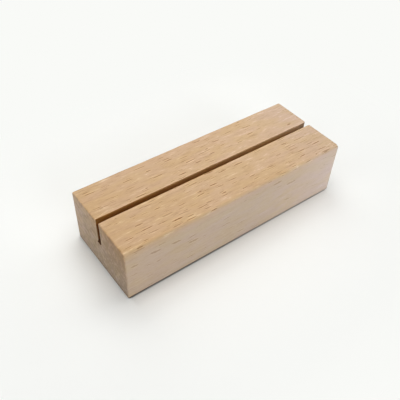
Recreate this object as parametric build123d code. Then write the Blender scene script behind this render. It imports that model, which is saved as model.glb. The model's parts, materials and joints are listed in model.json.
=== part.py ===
from build123d import *

import os

# Wooden photo block holder: one piece of beech with a saw kerf along its top, in which a print stands up.
# Millimetres. +X runs along the grain, +Y to the back and +Z up. The origin is the middle of the underside.

# The blank, planed square
block_length = 100.0
block_width = 36.0
block_height = 24.0

# The kerf, sawn through from end to end along the middle of the top
kerf_width = 2.3
kerf_depth = 11.0

# Sanding: the blank's arrises are rounded before it is sawn, more along the grain than round its ends,
# and the kerf's lips are only broken after
long_arris_radius = 1.0
end_arris_radius = 0.5
lip_radius = 0.2

kerf_floor = block_height - kerf_depth


def planed_blank():
    """The rectangular blank, standing on the origin, with its long arrises rounded and then those of its ends."""
    blank = extrude(Rectangle(block_length, block_width), amount=block_height)
    blank = fillet(blank.edges().filter_by(Axis.X), radius=long_arris_radius)
    return fillet(blank.faces().filter_by(Axis.X).edges(), radius=end_arris_radius)


def saw_cut():
    """What the blade takes out: the kerf's section, open at the top and carried a little past both ends."""
    overrun = kerf_width
    section = Rectangle(kerf_width, kerf_depth + overrun, align=(Align.CENTER, Align.MIN))
    across_the_grain = Plane.YZ * Pos(0, kerf_floor) * section
    return extrude(across_the_grain, amount=block_length / 2 + overrun, both=True)


def lip_edges(block):
    """Where the kerf's two walls come out: along the top, over the end arrises and down both ends."""
    walls = [face for face in block.faces().filter_by(Axis.Y) if abs(face.center().Y) < kerf_width]
    edges = [edge for wall in walls for edge in wall.edges()]
    return ShapeList(edge for edge in edges if edge.center().Z > kerf_floor + lip_radius)


def slotted_block():
    """The finished holder: the blank, sawn, with the lips of the kerf broken."""
    sawn = planed_blank() - saw_cut()
    return fillet(lip_edges(sawn), radius=lip_radius)


os.makedirs("parts", exist_ok=True)
export_step(slotted_block(), "parts/slotted_block.step")
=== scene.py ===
import json
from math import pi, radians, sqrt
from types import SimpleNamespace

import bpy
import numpy as np
from mathutils import Matrix, Vector


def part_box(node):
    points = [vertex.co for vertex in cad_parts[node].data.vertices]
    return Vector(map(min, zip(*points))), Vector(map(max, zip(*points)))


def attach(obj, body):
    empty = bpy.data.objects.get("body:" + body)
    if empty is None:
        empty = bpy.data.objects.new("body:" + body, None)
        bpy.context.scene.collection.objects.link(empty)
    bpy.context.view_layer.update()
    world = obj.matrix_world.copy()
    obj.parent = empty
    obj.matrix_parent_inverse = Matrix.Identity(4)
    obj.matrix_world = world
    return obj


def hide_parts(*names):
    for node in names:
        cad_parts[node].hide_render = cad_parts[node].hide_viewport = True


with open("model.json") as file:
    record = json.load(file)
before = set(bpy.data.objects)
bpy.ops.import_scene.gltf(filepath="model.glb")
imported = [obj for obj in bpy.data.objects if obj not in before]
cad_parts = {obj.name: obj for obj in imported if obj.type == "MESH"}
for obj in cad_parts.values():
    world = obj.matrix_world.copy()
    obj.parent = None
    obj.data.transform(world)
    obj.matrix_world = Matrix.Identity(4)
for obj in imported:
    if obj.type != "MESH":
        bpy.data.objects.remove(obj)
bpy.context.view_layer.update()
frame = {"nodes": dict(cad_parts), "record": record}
toMetres = 0.001                      # lengths are in millimetres until a mesh, lamp or camera is made
print("frame loaded:", ", ".join(frame["nodes"]))


def linear(red, green, blue):
    # a colour picked on screen, 0 to 255, as the light that it stands for: the screen's own curve undone
    share = np.array((red, green, blue)) / 255
    light = np.where(share <= 0.04045, share / 12.92, ((share + 0.055) / 1.055) ** 2.4)
    return (*light.tolist(), 1.0)


class Wire:                           # one output of a node; arithmetic on it adds Math nodes
    def __init__(self, tree, socket=None):
        self.tree = tree
        self.socket = socket

    def node(self, kind, settings=None, inputs=None, output=0):
        made = self.tree.nodes.new("ShaderNode" + kind)
        for name, value in (settings or {}).items():
            setattr(made, name, value)
        for name, value in (inputs or {}).items():
            self.feed(made.inputs[name], value)
        return Wire(self.tree, made.outputs[output])

    def feed(self, target, value):
        if isinstance(value, Wire):
            self.tree.links.new(value.socket, target)
        else:
            target.default_value = value

    def also(self, output):           # another output of the same node
        return Wire(self.tree, self.socket.node.outputs[output])

    def maths(self, operation, *values):
        return self.node("Math", {"operation": operation}, dict(enumerate(values)))

    def __add__(self, other):
        return self.maths("ADD", self, other)

    def __radd__(self, other):
        return self.maths("ADD", other, self)

    def __sub__(self, other):
        return self.maths("SUBTRACT", self, other)

    def __rsub__(self, other):
        return self.maths("SUBTRACT", other, self)

    def __mul__(self, other):
        return self.maths("MULTIPLY", self, other)

    def __rmul__(self, other):
        return self.maths("MULTIPLY", other, self)

    def __truediv__(self, other):
        return self.maths("DIVIDE", self, other)

    def __rtruediv__(self, other):
        return self.maths("DIVIDE", other, self)

    def __pow__(self, other):
        return self.maths("POWER", self, other)

    def __abs__(self):
        return self.maths("ABSOLUTE", self)

    def larger(self, other):
        return self.maths("MAXIMUM", self, other)

    def ease(self, start, end):       # 0 before start, 1 after end, an S-curve between
        limits = {"Value": self, "From Min": start, "From Max": end}
        return self.node("MapRange", {"interpolation_type": "SMOOTHSTEP"}, limits)

    def mix(self, first, second, blend="MIX"):      # this share of the second colour over the first
        kind = {"data_type": "RGBA", "clamp_factor": True, "blend_type": blend}
        return self.node("Mix", kind, {0: self, 6: first, 7: second}, 2)

    def tint(self, colour, by):       # the colour multiplied by another, by this share
        return self.mix(colour, by, "MULTIPLY")

    def vector(self, *parts):
        return self.node("CombineXYZ", inputs=dict(enumerate(parts)))

    def noise(self, where, detail=2.0, roughness=0.5, output=0):
        return self.node("TexNoise", inputs={"Vector": where, "Scale": 1.0, "Detail": detail,
                                             "Roughness": roughness}, output=output)

    def place(self):                  # where a point of the piece lies, in millimetres
        metres = self.node("TexCoord", output="Object")
        scaled = self.node("VectorMath", {"operation": "SCALE"}, {0: metres, "Scale": 1 / toMetres})
        x = self.node("SeparateXYZ", inputs={0: scaled})
        return x, x.also(1), x.also(2)


def newMaterial(name):
    material = bpy.data.materials.new(name)
    material.use_nodes = True
    tree = material.node_tree
    return material, tree.nodes["Principled BSDF"], Wire(tree)


def quads(index):
    # the four-sided faces between neighbours of a grid of point numbers
    corners = (index[:-1, :-1], index[1:, :-1], index[1:, 1:], index[:-1, 1:])
    return np.stack(corners, axis=-1).reshape(-1, 4)


def meshFrom(name, points, faces):
    mesh = bpy.data.meshes.new(name)
    mesh.from_pydata((points * toMetres).tolist(), [], faces.tolist())
    mesh.polygons.foreach_set("use_smooth", np.ones(len(faces), bool))
    mesh.update()
    piece = bpy.data.objects.new(name, mesh)
    bpy.context.scene.collection.objects.link(piece)
    return piece


def vertexVectors(mesh, name):
    # one vector for each vertex: its place, or the way that the surface faces there
    values = np.empty(3 * len(mesh.vertices))
    mesh.vertices.foreach_get(name, values)
    return values.reshape(-1, 3)


# The block: one solid of beech, sanded on its arrises and sawn along the top

block = {
    "node": "slotted_block",
    "endArris": 0.5,                  # sanded radius round the two ends
    "longArris": (1.0, 1.0, 0.7, 1.5),              # and along: back top, back low, front low, front top
    "arrisUneven": 0.12,              # how far hand sanding lets that radius wander
    "firstSeed": 3,                   # of that wander; each further arris takes the next one
    "lipBreak": 0.18,                 # radius on the kerf's lips
    "rimBreak": 0.65,                 # and on its rims at the two ends, which were sanded with them
    "rimDrop": 0.15,                  # the share of that rounding on the kerf's floor
    "kerfCorner": 0.18,               # radius that the saw teeth leave along the kerf's floor
    "kerfStray": 0.12,                # how far the cut strays in half the length, to the back at the left
    "kerfCrossing": 0.4,              # where it crosses the middle, as a share of half the length
    "endLean": (0.33, 0.12),          # how far the left end's foot is sawn in, at the front and at the back
    "leanFade": 6,                    # the power by which that dies out away from the end
    "sawMarkDepth": 0.035,
    "sawMarkPitch": 1.7,
    "sawMarkUneven": 1.3,             # how far the marks are shifted off their pitch, in radians
    "sawMarkBend": 6.0,               # how many times over the blade's curve shows in them
    "sawBlade": 90.0,                 # radius of the blade
    "lipsWithin": 2.0,                # the kerf's lips lie this close to the middle
    "upperBeyond": (10.0, 10.0),      # the upper arrises lie further from the middle and higher than this,
    "upperFacing": 0.3,               # and face the ends less than this
    "endWearAndHighlight": 0.5,                   # how much of the lips' pale wear and painted highlight the end arrises have
    "arcSteps": 6,
    "runSteps": 12,                   # down a side or a wall, and along the underside or the kerf's floor
    "landSteps": 11,                  # across each half of the top
    "lengthSteps": 330,
}


def blockSizes():
    # the CAD node's own box, and the kerf as its mount and its walls give it
    halfLength, side, top = (np.array(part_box(block["node"])[1]) / toMetres).tolist()
    slot = next(mount for mount in frame["record"]["mounts"] if mount["name"] == "print_slot")
    kerfFloor = slot["pos_m"][2] / toMetres
    corners = vertexVectors(frame["nodes"][block["node"]].data, "co") / toMetres
    aboveFloor = corners[:, 2] > kerfFloor + 1      # a millimetre up, clear of the floor's own corners
    kerfHalf = float(np.abs(corners[aboveFloor, 1]).min())
    return SimpleNamespace(
        halfLength=halfLength, side=side, top=top, kerfFloor=kerfFloor, kerfHalf=kerfHalf)


cad = blockSizes()


def wander(along, seed):
    # slow unevenness from -1 to 1: the mean of three sines whose wavelengths share no common measure
    waves = ((0.11, 1.0), (0.29, 2.3), (0.47, 4.1))
    return sum(np.sin(along * rate + seed * shift) for rate, shift in waves) / len(waves)


def crowded(steps, crowding=0.9):
    # shares of a straight run from 0 to 1, crowded towards both ends, where the rounded edges start
    even = np.linspace(0, 1, steps + 1)
    return even - crowding * np.sin(2 * pi * even) / (2 * pi)


def stations():
    # places along the grain: evenly through the middle, then a quarter circle over each end arris
    turn = np.linspace(0, pi / 2, block["arcSteps"] + 1)
    overEnd = cad.halfLength - block["endArris"] * (1 - np.sin(turn))
    drop = block["endArris"] * (1 - np.cos(turn))
    middle = np.linspace(-overEnd[0], overEnd[0], block["lengthSteps"] + 1)[1:-1]
    along = np.concatenate((-overEnd[::-1], middle, overEnd))
    inset = np.concatenate((drop[::-1], 0 * middle, drop))
    return along[:, None], inset[:, None]


def arcsAndRuns(arcs):
    # quarter circles, centre + radius * (cos, sin), joined by straight runs; one row for each station
    rounds = []
    for y, z, radius, start, end in arcs:
        turn = np.radians(np.linspace(start, end, block["arcSteps"] + 1))
        rounds.append(np.stack((y + radius * np.cos(turn), z + radius * np.sin(turn)), axis=-1))
    share = crowded(block["runSteps"])[1:-1, None]
    path = rounds[:1]
    for before, after in zip(rounds, rounds[1:]):
        path += [before[:, -1:] * (1 - share) + after[:, :1] * share, after]
    return np.concatenate(path, axis=1)


def outerPath(along, inset):
    # down the back, along the underside and up the front, with an arris at each of the four corners
    backTop, backLow, frontLow, frontTop = (
        radius + block["arrisUneven"] * wander(along, seed) - inset
        for seed, radius in enumerate(block["longArris"], block["firstSeed"]))
    side, top, low = cad.side - inset, cad.top - inset, inset
    return arcsAndRuns((
        (side - backTop, top - backTop, backTop, 90, 0),
        (side - backLow, low + backLow, backLow, 0, -90),
        (frontLow - side, low + frontLow, frontLow, -90, -180),
        (frontTop - side, top - frontTop, frontTop, 180, 90)))


def kerfMiddle(along):
    # how far back the middle of the cut lies: a straight line that crosses the block's own middle
    return block["kerfStray"] * (block["kerfCrossing"] - along / cad.halfLength)


def kerfPath(along, inset):
    # over the back lip, down its wall, along the floor, up the front wall and over its lip; at each end the
    # cut opens by a quarter circle, radius - sqrt(radius^2 - past^2)
    lip, rim = block["lipBreak"], block["rimBreak"]
    past = np.clip(np.abs(along) - cad.halfLength + rim, 0, rim)
    flare = rim - np.sqrt(rim ** 2 - past ** 2)
    dip = block["rimDrop"] * flare
    half, low, top = cad.kerfHalf + flare, cad.kerfFloor - dip, cad.top - inset
    corner = block["kerfCorner"] + dip
    path = arcsAndRuns((
        (half + lip, top - lip, lip, 90, 180),
        (half - corner, low + corner, corner, 0, -90),
        (corner - half, low + corner, corner, -90, -180),
        (-half - lip, top - lip, lip, 0, 90)))
    path[..., 0] += sawMarks(along, path[..., 0] / cad.kerfHalf, top - path[..., 1])
    path[..., 0] += kerfMiddle(along)
    return path


def sawMarks(along, towardsWall, depth):
    # scallops that the teeth leave: a sine along the grain, bent by the blade's circle, cut into the wood
    blade = block["sawBlade"]
    swing = block["sawMarkBend"] * (blade - np.sqrt(blade ** 2 - depth ** 2))
    shift = block["sawMarkUneven"] * wander(along, block["firstSeed"])
    phase = 2 * pi * (along + swing) / block["sawMarkPitch"] + shift
    return np.clip(towardsWall, -1, 1) * block["sawMarkDepth"] * (0.5 + 0.5 * np.sin(phase))


def outerSheets(shape):
    # which points of a solid grid lie on its six outer sheets, and the faces of these, turned outwards
    kept = np.zeros(shape, bool)
    kept[[0, -1]] = True
    kept[:, [0, -1]] = True
    kept[:, :, [0, -1]] = True
    number = (np.cumsum(kept) - 1).reshape(shape)
    faces = np.concatenate((
        quads(number[:, :, 0]), quads(number[:, ::-1, -1]),
        quads(number[:, 0, ::-1]), quads(number[:, -1]),
        quads(number[0]), quads(number[-1, ::-1])))
    return kept, faces


def blockSurface():
    # a solid grid with three parameters: along the grain, round the U of the section, and through the wood
    # from the outside to the kerf; its sheets are the outside, the kerf, the two lands and the two ends
    along, inset = stations()
    outer = outerPath(along, inset)
    kerf = kerfPath(along, inset)
    share = crowded(block["landSteps"])[:, None]
    section = outer[:, :, None] * (1 - share) + kerf[:, :, None] * share
    solid = np.concatenate((0 * section[..., :1] + along[:, :, None, None], section), axis=-1)
    atFront, atBack = block["endLean"]
    lean = atFront + (atBack - atFront) * (0.5 + 0.5 * solid[..., 1] / cad.side)
    lean = lean * (1 - solid[..., 2] / cad.top)
    solid[..., 0] += lean * np.clip(-solid[..., 0] / cad.halfLength, 0, 1) ** block["leanFade"]
    depth = np.zeros(solid.shape[:3])
    depth[:, :, -1] = (cad.top - solid[:, :, -1, 2]) / (cad.top - cad.kerfFloor)
    kept, faces = outerSheets(solid.shape[:3])
    return solid[kept], faces, depth[kept]


def mark(piece, name, values):
    # one number for each vertex, for the material to read
    layer = piece.data.attributes.new(name, "FLOAT", "POINT")
    layer.data.foreach_set("value", np.ascontiguousarray(values, dtype=np.float32))


def markCuts(piece, points, pith):
    # how squarely the surface cuts the trunk's length and its rays, how level it lies, how far it is turned
    # off every flat face, and the share of that on the lips and end arrises, for wear and a painted
    # highlight, and on the upper arrises, for painted shade
    normals = vertexVectors(piece.data, "normal")
    radial = points[:, 1:] - np.array(pith)
    radial /= np.linalg.norm(radial, axis=1, keepdims=True)
    endCut = np.abs(normals[:, 0])
    sanded = (1 - np.abs(normals).max(axis=1)) / (1 - sqrt(0.5))
    across, up = np.abs(points[:, 1]), points[:, 2]
    wearAndHighlightShare = np.where(across < block["lipsWithin"], 1, block["endWearAndHighlight"] * endCut)
    outside, above = block["upperBeyond"]
    upper = (across > outside) * (up > above) * (endCut < block["upperFacing"])
    mark(piece, "endCut", endCut)
    mark(piece, "flatCut", np.abs((normals[:, 1:] * radial).sum(axis=1)))
    mark(piece, "level", np.abs(normals[:, 2]))
    mark(piece, "sanded", sanded)
    mark(piece, "worn", sanded * wearAndHighlightShare)
    mark(piece, "rubbed", sanded * upper)


# Beech: rings round a pith below the block, rays that run out from it, fibres and pores along the trunk

beech = {
    "pith": (22.0, -70.0),            # where the trunk's heart passes, across and up from the origin
    "lean": (0.012, -0.006),          # how far the trunk leans across and up, per length
    "drift": 1.4,                     # how far the fibres wander
    "driftScale": (0.014, 0.035, 0.035),            # how quickly, along, across and up
    "arcRadius": 92.0,                # arc lengths are true at this distance from the pith, near the top
    "ringWidth": 2.7,
    "ringShift": 0.5,                 # how much of a year the drift shifts the rings
    "latePower": 3.0,                 # how late in the year the wood darkens
    "poreCell": (2.0, 0.28),          # one pore's room along and across the trunk
    "poreEdge": (0.12, 0.42),         # where it fades out, as a share of that
    "rayScatter": 0.9,                # how far rays stray from an even pattern
    "rayTilt": 0.08,                  # and from the trunk's length
    "rayRagged": 0.2,                 # how far their edges wander
    "rayBands": {"pitch": 72.0, "start": 24.0, "slant": 1.33, "depth": 0.18},       # where they thin out
    "rayRarer": {"everywhere": 0.57, "back": 0.22, "upright": 0.3},         # and what else thins them
    "raySlant": {"slimmer": 0.4, "fewer": 0.5, "fainter": 0.8, "paler": 0.3, "ragged": 0.8},    # cut aslant
    "warm": linear(193, 158, 117),    # at the left end; the wood's own tone, and painted light that brightens it to the right,
    "pale": linear(201, 170, 135),    # at the right end
    "paleOver": 110.0,                # the length in which the one goes over into the other
    "patchiness": 0.7,                # and how unevenly it does
    "blush": (0.985, 1.02, 1.13, 1.0),              # painted cool light that the right end adds
    "frontHalf": (1.0, 0.99, 0.955, 1.0),           # and the front half of the board
    "uprightLightLeft": (0.865, 1.01, 1.33, 1.0),        # painted light on the upright faces: cooler than on the top, brighter to the right
    "uprightLightRight": (1.062, 1.204, 1.52, 1.0),
    "endGrain": (1.02, 1.017, 1.015, 1.0),          # what a cut across the trunk does
    "endFootLight": (0.985, 1.0, 1.05, 1.0),             # painted light added at its foot, cool from the floor, and up its back edge
    "endBackLight": (1.13, 1.13, 1.15, 1.0),
    "frontEndShade": (0.8, 0.785, 0.755, 1.0),              # painted shade on the end grain, towards the front,
    "frontEndShadeSpread": 26.0,                            # the width over which it fades,
    "frontEndShadeMottle": (5.0, 6.0),                      # and how much finer and broader clouds break it up
    "upperEndShading": (0.97, 0.885, 0.8, 1.0),              # painted shade and light on its upper part, at the front and the back
    "upperEndShadingBack": (1.18, 1.17, 1.18, 1.0),
    "tinge": (1.0, 1.0, 1.11, 1.0),                 # how the hue changes slowly from place to place
    "late": (0.84, 0.80, 0.74, 1.0),                # the end of a year, fibres and pores,
    "lateShow": {"year": 0.12, "yearAtEnd": 0.55, "fibre": 0.3, "pore": 0.45},      # and how much of each
    "streak": (0.8, 0.765, 0.71, 1.0),              # darker streaks along the grain, and paler ones painted as a sheen
    "gloss": (1.32, 1.51, 1.74, 1.0),
    "flake": (0.93, 0.915, 0.89, 1.0),              # rays that lie in the surface, on a cut along them
    "ray": (0.28, 0.13, 0.0, 1.0),                  # rays that are cut through, and a painted highlight beside them
    "sheath": (1.18, 1.22, 1.18, 1.0),
    "kerfToneLeft": (1.1, 0.82, 0.36, 1.0),           # the kerf's walls and floor: deeper brown with painted shade at the left, paler to the right
    "kerfToneRight": (1.5, 1.53, 1.38, 1.0),
    "lipShade": (0.72, 0.7, 0.68, 1.0),             # painted shade just under the lips,
    "endShade": (0.6, 0.56, 0.52, 1.0),             # at the ends,
    "floorShade": (0.4, 0.36, 0.32, 1.0),           # on the floor there,
    "deepShade": (0.45, 0.34, 0.2, 1.0),                 # and further down
    "worn": (1.25, 1.28, 1.32, 1.0),                # lips and end arrises, sanded pale, with a painted highlight
    "besideKerf": (1.16, 1.17, 1.19, 1.0),          # the top paler along the lips
    "arrisShadeLeft": (0.875, 0.91, 0.9, 1.0),          # painted shade on the upper arrises
    "arrisShadeRight": (0.95, 0.97, 0.945, 1.0),
    "footShade": (0.05, 0.045, 0.04, 1.0),              # painted shade along the lowest edge, where the block meets the paper
    "roughness": 0.6,
    "rougher": {"end": 0.14, "fibre": 0.16},        # what is added to that or taken from it
    "smoother": {"sanded": 0.06, "flake": 0.08},
    "relief": {"fibre": 0.012, "ray": 0.02, "pore": 0.01},          # fibres stand up, the others lie deeper
    "refraction": 1.5,
    "specular": 0.3,                  # sanded wood with no film on it throws back less than a polished face
}
patterns = {                          # noise, by its scale along the trunk, round it and out from the pith
    "fibre": {"scale": (0.07, 2.6, 2.6), "detail": 3.0, "roughness": 0.6},
    "grain": {"scale": (0.17, 1.1, 1.1), "detail": 3.0, "roughness": 0.65},
    "mottle": {"scale": (0.3, 1.4, 0.35), "detail": 3.0, "roughness": 0.6},
    "cloud": {"scale": (0.1, 0.4, 0.4), "detail": 2.0, "roughness": 0.5},
    "patchy": {"scale": (0.05, 0.12, 0.12), "detail": 2.0, "roughness": 0.55},
    "tinge": {"scale": (0.09, 0.25, 0.25), "detail": 1.0, "roughness": 0.5, "shift": 40.0},
    "flake": {"scale": (0.75, 1.2, 0.16), "detail": 2.0, "roughness": 0.6},
    "crowd": {"scale": (0.11, 0.25, 0.03), "detail": 1.0, "roughness": 0.5},
    "ragged": {"scale": (1.5, 2.0, 0.7), "detail": 2.0, "roughness": 0.5},
    "tissue": {"scale": (2.2, 4.0, 0.9), "detail": 1.0, "roughness": 0.5},
}
rayLayers = (                         # cell along and across, half length, half width, share of cells, tone
    {"cell": (8.0, 1.7), "half": (1.3, 2.9), "width": (0.16, 0.33),
     "share": 0.6, "tone": (0.5, 1.0), "seed": 0.0},
    {"cell": (6.0, 1.1), "half": (0.9, 2.1), "width": (0.09, 0.18),
     "share": 0.65, "tone": (0.35, 0.85), "seed": 57.0},
)


def surfaceAt(wood):
    # what the material knows of a point: its place, and the numbers that the vertices are marked with
    at = SimpleNamespace()
    at.x, at.y, at.z = wood.place()
    for name in ("endCut", "flatCut", "level", "sanded", "worn", "rubbed", "kerfDepth"):
        setattr(at, name, wood.node("Attribute", {"attribute_name": name}, output="Fac"))
    at.squarely = at.flatCut.ease(0.4, 0.9)         # 1 where the rays are cut through, 0 on a slant
    return at


def addKerf(at):
    # where the kerf's colour and painted shade go: the kerf's walls and floor, short of the sanded rims at
    # the ends, and, away from the left end, a little of the top at the front lip, which is painted as dark
    # as the kerf
    at.fromLip = abs(at.y - kerfMiddle(at.x)) - cad.kerfHalf
    inFront = (0 - at.y).ease(0.0, 0.5)
    nearLip = 1 - at.fromLip.ease(0.2, 0.34)
    onTop = 1 - (cad.top - at.z).ease(0.2, 0.3)
    at.frontLip = inFront * at.x.ease(-40.0, -10.0) * nearLip * onTop
    aboveFloor = (at.z - cad.kerfFloor).ease(0.0, 0.3)
    rim = aboveFloor.larger(at.fromLip.ease(-0.05, 0.1)) * at.endCut.ease(0.1, 0.45)
    at.inKerf = at.kerfDepth.ease(0.006, 0.02).larger(at.frontLip) * (1 - rim)


def addTrunk(wood, at):
    # trunk coordinates: length, then arc length round the pith and distance from it, which drift slowly
    slow = wood.vector(*(place * scale for place, scale in zip((at.x, at.y, at.z), beech["driftScale"])))
    drift = wood.node("SeparateColor", inputs={0: wood.noise(slow, output=1)})
    pithY, pithZ = beech["pith"]
    leanY, leanZ = beech["lean"]
    outY = at.y - pithY + leanY * at.x + (drift - 0.5) * beech["drift"]
    outZ = at.z - pithZ + leanZ * at.x + (drift.also(1) - 0.5) * beech["drift"]
    radius = (outY * outY + outZ * outZ) ** 0.5
    arc = wood.maths("ARCTAN2", outY, outZ) * beech["arcRadius"]
    at.trunk = (at.x, arc, radius)
    at.year = wood.maths("FRACT", radius / beech["ringWidth"] + beech["ringShift"] * drift.also(2))


def trunkNoise(wood, at, name):
    # noise on the trunk's own coordinates, each times its scale
    pattern = patterns[name]
    along, arc, radius = (place * scale for place, scale in zip(at.trunk, pattern["scale"]))
    if "shift" in pattern:
        along = along + pattern["shift"]
    return wood.noise(wood.vector(along, arc, radius), pattern["detail"], pattern["roughness"])


def rayLayer(wood, layer, at, arc, crowd):
    # one ray to a cell of a stretched cell pattern: a spindle, 1 - (along / half length)^4 - across / half
    # width, that keeps its place round the pith at every distance from it; a slanting cut shows fewer,
    # fainter and slimmer ones, paler in their middles
    cellLong, cellWide = layer["cell"]
    where = wood.vector(at.x / cellLong + layer["seed"], arc / cellWide + layer["seed"])
    plan = {"voronoi_dimensions": "2D", "feature": "F1"}
    spread = {"Vector": where, "Scale": 1.0, "Randomness": beech["rayScatter"]}
    cells = wood.node("TexVoronoi", plan, spread)
    offset = wood.node("VectorMath", {"operation": "SUBTRACT"}, {0: where, 1: cells.also("Position")})
    offset = wood.node("SeparateXYZ", inputs={0: offset})
    lottery = wood.node("SeparateColor", inputs={0: cells.also("Color")})
    tiltDraw = wood.maths("FRACT", lottery * 31.7)  # two more draws from the first one
    toneDraw = wood.maths("FRACT", lottery * 17.3)
    shortest, longest = layer["half"]
    thinnest, widest = layer["width"]
    faintest, deepest = layer["tone"]
    slant = beech["raySlant"]
    alongRay = offset * cellLong / (shortest + (longest - shortest) * lottery.also(1))
    tilt = (tiltDraw - 0.5) * beech["rayTilt"]
    acrossRay = abs(offset.also(1) * cellWide + tilt * offset * cellLong)
    acrossRay = acrossRay * (1 + slant["slimmer"] - slant["slimmer"] * at.squarely)
    acrossRay = acrossRay / (thinnest + (widest - thinnest) * lottery.also(2))
    square = alongRay * alongRay
    taper = 1 - square * square
    tone = faintest + (deepest - faintest) * toneDraw
    tone = tone * (1 - slant["fainter"] + slant["fainter"] * at.flatCut.ease(0.05, 0.75))
    chance = (layer["share"] + crowd) * (1 - slant["fewer"] * at.flatCut.ease(0.1, 0.4) * (1 - at.squarely))
    shown = tone * wood.maths("LESS_THAN", lottery, chance)
    body = taper - acrossRay
    dark = body.ease(0.0, 0.6) * (1 - slant["paler"] * (1 - at.squarely) * body.ease(0.3, 0.9))
    light = (taper - 0.4 * acrossRay).ease(0.0, 0.5)                # a painted highlight beside the ray, wider than the ray itself
    light = light * (1 - slant["paler"] + slant["paler"] * at.squarely)
    return dark * shown, light * shown


def rays(wood, at):
    # both layers, dark rays and a painted highlight beside them; rays thin out in slanting bands, and
    # towards the right in the back half and on the upright faces
    x, arc = at.trunk[:2]
    bands, rarer, slant = beech["rayBands"], beech["rayRarer"], beech["raySlant"]
    wave = wood.maths("COSINE", (x - bands["start"] - bands["slant"] * at.y) * (2 * pi / bands["pitch"]))
    crowd = trunkNoise(wood, at, "crowd") - rarer["everywhere"] - bands["depth"] * wave
    crowd = crowd - rarer["back"] * x.ease(-10.0, 35.0) * at.y.ease(-3.0, 5.0)
    crowd = crowd - rarer["upright"] * x.ease(0.0, 45.0) * (1 - at.level)
    ragged = (trunkNoise(wood, at, "ragged") - 0.5) * beech["rayRagged"]
    ragged = ragged * (1 + slant["ragged"] - slant["ragged"] * at.squarely)
    large, small = (rayLayer(wood, layer, at, arc + ragged, crowd) for layer in rayLayers)
    tissue = 0.6 + 0.6 * trunkNoise(wood, at, "tissue")             # rays are not evenly dark
    return large[0].larger(small[0]) * tissue, large[1].larger(small[1])


def woodFigure(wood, at):
    # fibres, clouds, pores, years and rays, each from 0 to 1
    figure = SimpleNamespace()
    for name in ("fibre", "grain", "mottle", "cloud", "patchy"):
        setattr(figure, name, trunkNoise(wood, at, name))
    x, arc, radius = at.trunk
    poreLong, poreWide = beech["poreCell"]
    cells = wood.vector(x / poreLong, arc / poreWide, radius / poreWide)
    pores = wood.node("TexVoronoi", {"feature": "F1"}, {"Vector": cells, "Scale": 1.0})
    figure.pore = 1 - pores.ease(*beech["poreEdge"])
    figure.late = at.year ** beech["latePower"]
    figure.tinge = trunkNoise(wood, at, "tinge").ease(0.35, 0.65)
    flake = trunkNoise(wood, at, "flake").ease(0.53, 0.63)
    figure.flake = flake * (1 - at.flatCut.ease(0.05, 0.35)) * (1 - at.endCut)
    figure.fleck, figure.sheath = rays(wood, at)
    return figure


# In the colours below, the limits of ease on x, y and z are millimetres from the block's origin

def boardColour(at, figure):
    # warm at the left and paler to the right, the wood's own tone with painted light; painted cool light at
    # the right end, and painted light on the upright faces, cooler than on the top
    paler = 0.5 + at.x / beech["paleOver"] + beech["patchiness"] * (figure.patchy - 0.5)
    colour = paler.mix(beech["warm"], beech["pale"])
    # painted cool light at the right end
    rightEnd = at.x.ease(22.0, 50.0)
    colour = rightEnd.tint(colour, beech["blush"])
    towardsFront = 0.5 - at.y / (2 * cad.side)
    colour = towardsFront.tint(colour, beech["frontHalf"])
    # painted light on the upright faces, cooler than on the top and brighter to the right
    uprightLight = at.x.ease(0.0, 60.0).mix(beech["uprightLightLeft"], beech["uprightLightRight"])
    rolled = at.level.ease(0.7, 1.0)
    sooner = at.level.ease(0.0, 1.0)
    rolled = rolled + (sooner - rolled) * at.z.ease(1.0, 4.0)       # the latter over an upper arris
    lessAtTop = 0.74 + 0.26 * (cad.top - at.z).ease(1.5, 5.0)
    upright = (1 - rolled) * lessAtTop
    return (upright * (1 - at.inKerf)).tint(colour, uprightLight)


def endColour(at, figure, colour):
    # end grain, with mottled painted shade to the front, and painted light and shade towards its top, foot
    # and back edge
    colour = at.endCut.tint(colour, beech["endGrain"])
    fine, broad = beech["frontEndShadeMottle"]
    frontEndShade = 0.5 - at.y / beech["frontEndShadeSpread"] + fine * (figure.mottle - 0.5) + broad * (figure.cloud - 0.5)
    colour = (at.endCut * frontEndShade).tint(colour, beech["frontEndShade"])
    upperEndShading = at.y.ease(-12.0, 14.0).mix(beech["upperEndShading"], beech["upperEndShadingBack"])
    upperPart = at.z.ease(4.0, 22.0)
    colour = (at.endCut * upperPart).tint(colour, upperEndShading)
    foot = 1 - at.z.ease(1.0, 8.0)
    colour = (at.endCut * foot).tint(colour, beech["endFootLight"])
    backEdge = at.endCut * at.y.ease(8.0, 15.0) * at.z.ease(0.0, 9.0) * (1 - at.z.ease(13.0, 21.0))
    return backEdge.tint(colour, beech["endBackLight"])


def figureColour(at, figure, colour):
    # years, fibres, streaks, pores and rays
    show = beech["lateShow"]
    colour = figure.tinge.tint(colour, beech["tinge"])
    colour = (figure.late * (show["year"] + show["yearAtEnd"] * at.endCut)).tint(colour, beech["late"])
    colour = ((figure.fibre - 0.5).ease(0.0, 0.3) * show["fibre"]).tint(colour, beech["late"])
    lessAside = 0.35 + 0.65 * at.squarely
    streak = (figure.grain - 0.5).ease(0.0, 0.3) * lessAside
    colour = streak.tint(colour, beech["streak"])
    # painted sheen: paler streaks along the grain, on the flat-sawn faces
    gloss = (0.5 - figure.grain).ease(0.05, 0.3) * at.flatCut.ease(0.2, 0.9)
    colour = gloss.tint(colour, beech["gloss"])
    colour = (figure.pore * show["pore"]).tint(colour, beech["late"])
    colour = figure.flake.tint(colour, beech["flake"])
    colour = figure.sheath.tint(colour, beech["sheath"])
    return figure.fleck.tint(colour, beech["ray"])


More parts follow.
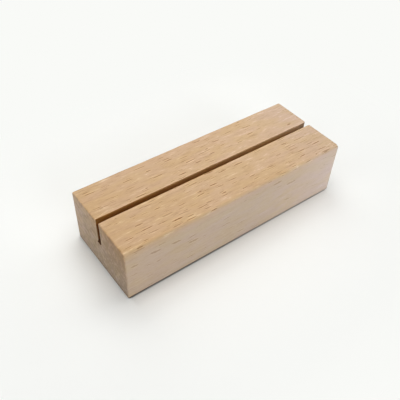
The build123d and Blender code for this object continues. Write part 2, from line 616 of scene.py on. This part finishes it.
def kerfColour(at, colour):
    # the kerf deeper brown with painted shade at the left and paler to the right, with more painted shade
    # just under the lips, near the ends, on the floor there and far down
    kerfTone = at.x.ease(-60.0, 75.0).mix(beech["kerfToneLeft"], beech["kerfToneRight"])
    colour = at.inKerf.tint(colour, kerfTone)
    underLip = at.inKerf * (1 - at.kerfDepth.ease(0.0, 0.2))
    colour = underLip.tint(colour, beech["lipShade"])
    nearEnd = at.inKerf * (1 - (cad.halfLength - abs(at.x)).ease(1.0, 4.0))
    colour = nearEnd.tint(colour, beech["endShade"])
    onFloor = at.kerfDepth.ease(0.93, 0.98)
    colour = (nearEnd * onFloor).tint(colour, beech["floorShade"])
    furtherDown = at.kerfDepth.ease(0.12, 0.32)
    return (at.inKerf * furtherDown).tint(colour, beech["deepShade"])


def wearLightAndShadeColour(at, colour):
    # lips and end arrises sanded pale with a painted highlight, a paler top beside the kerf, painted shade
    # on the upper arrises and along the lowest edge
    # pale sanded wear with a painted highlight on the lips and end arrises
    colour = (at.worn * (1 - at.frontLip)).tint(colour, beech["worn"])
    nearTop = (at.z - cad.kerfFloor).ease(8.0, cad.top - cad.kerfFloor)
    beside = (1 - at.fromLip.ease(0.2, 1.2)) * (1 - at.inKerf) * nearTop
    lessAtBack = 1 - 0.4 * at.y.ease(-0.5, 0.5)
    colour = (beside * lessAtBack).tint(colour, beech["besideKerf"])
    # painted shade on the upper arrises, darker at the left
    edge = at.x.ease(-40.0, 10.0).mix(beech["arrisShadeLeft"], beech["arrisShadeRight"])
    colour = at.rubbed.tint(colour, edge)
    # painted shade: a dark line along the lowest edge, where the block meets the paper
    height = at.z + 0.15 * at.x.ease(-30.0, 45.0)   # so that the painted shade line is thinner to the right
    foot = (1 - height.ease(0.75, 0.95)) * (1 - at.level.ease(0.8, 0.95))           # short of the underside
    lessToRight = 1 - 0.5 * at.x.ease(-30.0, 40.0)
    lessAtCorner = 1 - 0.5 * at.x.ease(36.0, 50.0)
    lessOnEnds = 1 - 0.5 * at.endCut
    return (foot * lessToRight * lessAtCorner * lessOnEnds).tint(colour, beech["footShade"])


def beechMaterial():
    material, shader, wood = newMaterial("beech")
    at = surfaceAt(wood)
    addKerf(at)
    addTrunk(wood, at)
    figure = woodFigure(wood, at)
    colour = boardColour(at, figure)
    colour = endColour(at, figure, colour)
    colour = figureColour(at, figure, colour)
    colour = kerfColour(at, colour)
    colour = wearLightAndShadeColour(at, colour)
    rougher, smoother, relief = beech["rougher"], beech["smoother"], beech["relief"]
    roughness = beech["roughness"] + rougher["end"] * at.endCut + rougher["fibre"] * (figure.fibre - 0.5)
    roughness = roughness - smoother["sanded"] * at.sanded - smoother["flake"] * figure.flake
    height = relief["fibre"] * figure.fibre - relief["ray"] * figure.fleck - relief["pore"] * figure.pore
    bump = wood.node("Bump", inputs={"Strength": 1.0, "Distance": toMetres, "Height": height})
    wood.feed(shader.inputs["Base Color"], colour)
    wood.feed(shader.inputs["Roughness"], roughness)
    wood.feed(shader.inputs["Normal"], bump)
    shader.inputs["IOR"].default_value = beech["refraction"]
    shader.inputs["Specular IOR Level"].default_value = beech["specular"]
    return material


points, faces, depth = blockSurface()
beechBlock = meshFrom("beech_block", points, faces)
markCuts(beechBlock, points, beech["pith"])
mark(beechBlock, "kerfDepth", depth)
beechBlock.data.materials.append(beechMaterial())
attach(beechBlock, "root")
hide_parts(block["node"])
print("block:", len(points), "points,", len(faces), "faces")


# Stage: a pale table top and soft light

stage = {
    "reach": 1500.0,                  # from the block to the edge of the table top
    "tablePoints": 9,                 # along that edge
    "fade": (25.0, 75.0),             # where the table top goes over into the background, from the block
    "paper": linear(247, 247, 245),
    "paperRoughness": 0.9,
    "creviceShade": linear(66, 54, 40),    # painted shade on the paper under the rounded lower edges,
    "creviceShare": 0.43,             # how dark it is there,
    "creviceReach": 0.35,             # how far out from the block,
    "shadeShare": 0.12,               # how dark the painted contact shadow is further out, at the left,
    "shadeLoss": 0.08,                # what is lost of that to the right,
    "shadeReach": (0.3, 6.0),         # and where it fades
    "background": linear(249, 250, 247),
    "ambient": linear(0, 0, 0),
}
lamps = {
    "overhead": {"place": (50, 50, 600), "size": 600, "colour": (0.99, 1.0, 0.99), "watts": 2.44},
    "right": {"place": (707, 0, 707), "size": 600, "colour": (0.985, 0.99, 1.0), "watts": 1.06},
    "back": {"place": (30, 150, 220), "size": 200, "colour": (1.0, 1.0, 0.97), "watts": 0.207},
    "left": {"place": (-380, 0, 400), "size": 300, "colour": (1.0, 1.0, 0.99), "watts": 0.398},
    "front": {"place": (0, -970, 260), "size": 500, "colour": (0.95, 0.975, 1.0), "watts": 4.3},
    "front_left": {"place": (-680, -680, 260), "size": 500, "colour": (0.985, 1.0, 1.0), "watts": 1.58},
}


def tableTop():
    # a flat square grid on the plane that the block stands on
    edge = np.linspace(-stage["reach"], stage["reach"], stage["tablePoints"])
    x, y = np.meshgrid(edge, edge, indexing="ij")
    points = np.stack((x, y, 0 * x), axis=-1).reshape(-1, 3)
    return meshFrom("table_top", points, quads(np.arange(x.size).reshape(x.shape)))


def shownTo(tree):
    # 1 for what is seen straight, in a gloss or through glass, and 0 for what lights a dull surface
    ray = Wire(tree).node("LightPath", output="Is Camera Ray")
    return ray.larger(ray.also("Is Glossy Ray")).larger(ray.also("Is Transmission Ray"))


def paperMaterial():
    # paper that keeps the block's shadow, with painted shade under the block's lower edges and a painted
    # contact shadow just beyond, and further out the plain background; distance from the block's outline is
    # the length of (how far past its ends, how far past its sides)
    material, shader, paper = newMaterial("paper")
    shader.inputs["Roughness"].default_value = stage["paperRoughness"]
    shader.inputs["Specular IOR Level"].default_value = 0.0
    x, y = paper.place()[:2]
    pastEnd = (abs(x) - cad.halfLength).larger(0.0)
    pastSide = (abs(y) - cad.side).larger(0.0)
    distance = (pastEnd * pastEnd + pastSide * pastSide) ** 0.5
    # painted shade: dark under the rounded lower edges, and a painted contact shadow further out, stronger
    # at the left
    creviceShade = stage["creviceShare"] * (1 - distance.ease(0.0, stage["creviceReach"]))
    shade = stage["shadeShare"] - stage["shadeLoss"] * x.ease(-40.0, 20.0)
    creviceShade = creviceShade + shade * (1 - distance.ease(*stage["shadeReach"]))
    creviceShade = creviceShade * (cad.halfLength - abs(x)).ease(0.5, 2.0)    # no painted shade along the ends
    paper.feed(shader.inputs["Base Color"], creviceShade.mix(stage["paper"], stage["creviceShade"]))
    glow = paper.node("Emission", inputs={"Color": stage["background"]})
    far = shownTo(paper.tree) * distance.ease(*stage["fade"])
    both = paper.node("MixShader", inputs={0: far, 1: Wire(paper.tree, shader.outputs[0]), 2: glow})
    paper.feed(paper.tree.nodes["Material Output"].inputs["Surface"], both)
    return material


def softLamp(name, lamp):
    light = bpy.data.lights.new(name, "AREA")
    light.shape = "DISK"
    light.size = lamp["size"] * toMetres
    light.energy = lamp["watts"]
    light.color = lamp["colour"]
    place = Vector(lamp["place"]) * toMetres
    made = bpy.data.objects.new(name, light)
    made.location = place
    made.rotation_euler = place.to_track_quat("Z", "Y").to_euler()
    bpy.context.scene.collection.objects.link(made)


def studio():
    # the background shows white to the eye and in reflections, and gives no light of its own
    world = bpy.data.worlds.new("studio")
    bpy.context.scene.world = world
    world.use_nodes = True
    seen = shownTo(world.node_tree)
    background = world.node_tree.nodes["Background"]
    seen.feed(background.inputs["Color"], seen.mix(stage["ambient"], stage["background"]))


floor = tableTop()
floor.data.materials.append(paperMaterial())
for name, lamp in lamps.items():
    softLamp(name, lamp)
studio()
bpy.context.scene.view_settings.view_transform = "Standard"
print("stage: table top,", len(lamps), "lamps")


# Camera: at the photograph's viewing angle

view = {
    "azimuth": -38.81,                # degrees, 0 looks along +Y
    "elevation": 44.72,
    "roll": 3.07,
    "distance": 219.15,
    "aim": (-1.51, 5.11, 3.06),
    "lens": 48.05,
    "sensor": 36.0,
    "nearest": 10.0,                  # what is closer to the camera isn't drawn
}


def photoCamera():
    camera = bpy.data.cameras.new("photo_camera")
    camera.sensor_width = view["sensor"]
    camera.lens = view["lens"]
    camera.clip_start = view["nearest"] * toMetres
    turn, lift = radians(view["azimuth"]), radians(view["elevation"])
    back = Vector((np.sin(turn) * np.cos(lift), -np.cos(turn) * np.cos(lift), np.sin(lift)))
    made = bpy.data.objects.new("photo_camera", camera)
    roll = Matrix.Rotation(radians(view["roll"]), 4, "Z")
    facing = back.to_track_quat("Z", "Y").to_matrix().to_4x4()
    place = (Vector(view["aim"]) + back * view["distance"]) * toMetres
    made.matrix_world = Matrix.Translation(place) @ facing @ roll
    bpy.context.scene.collection.objects.link(made)
    bpy.context.scene.camera = made


photoCamera()
print("camera:", view["azimuth"], "round,", view["elevation"], "up")
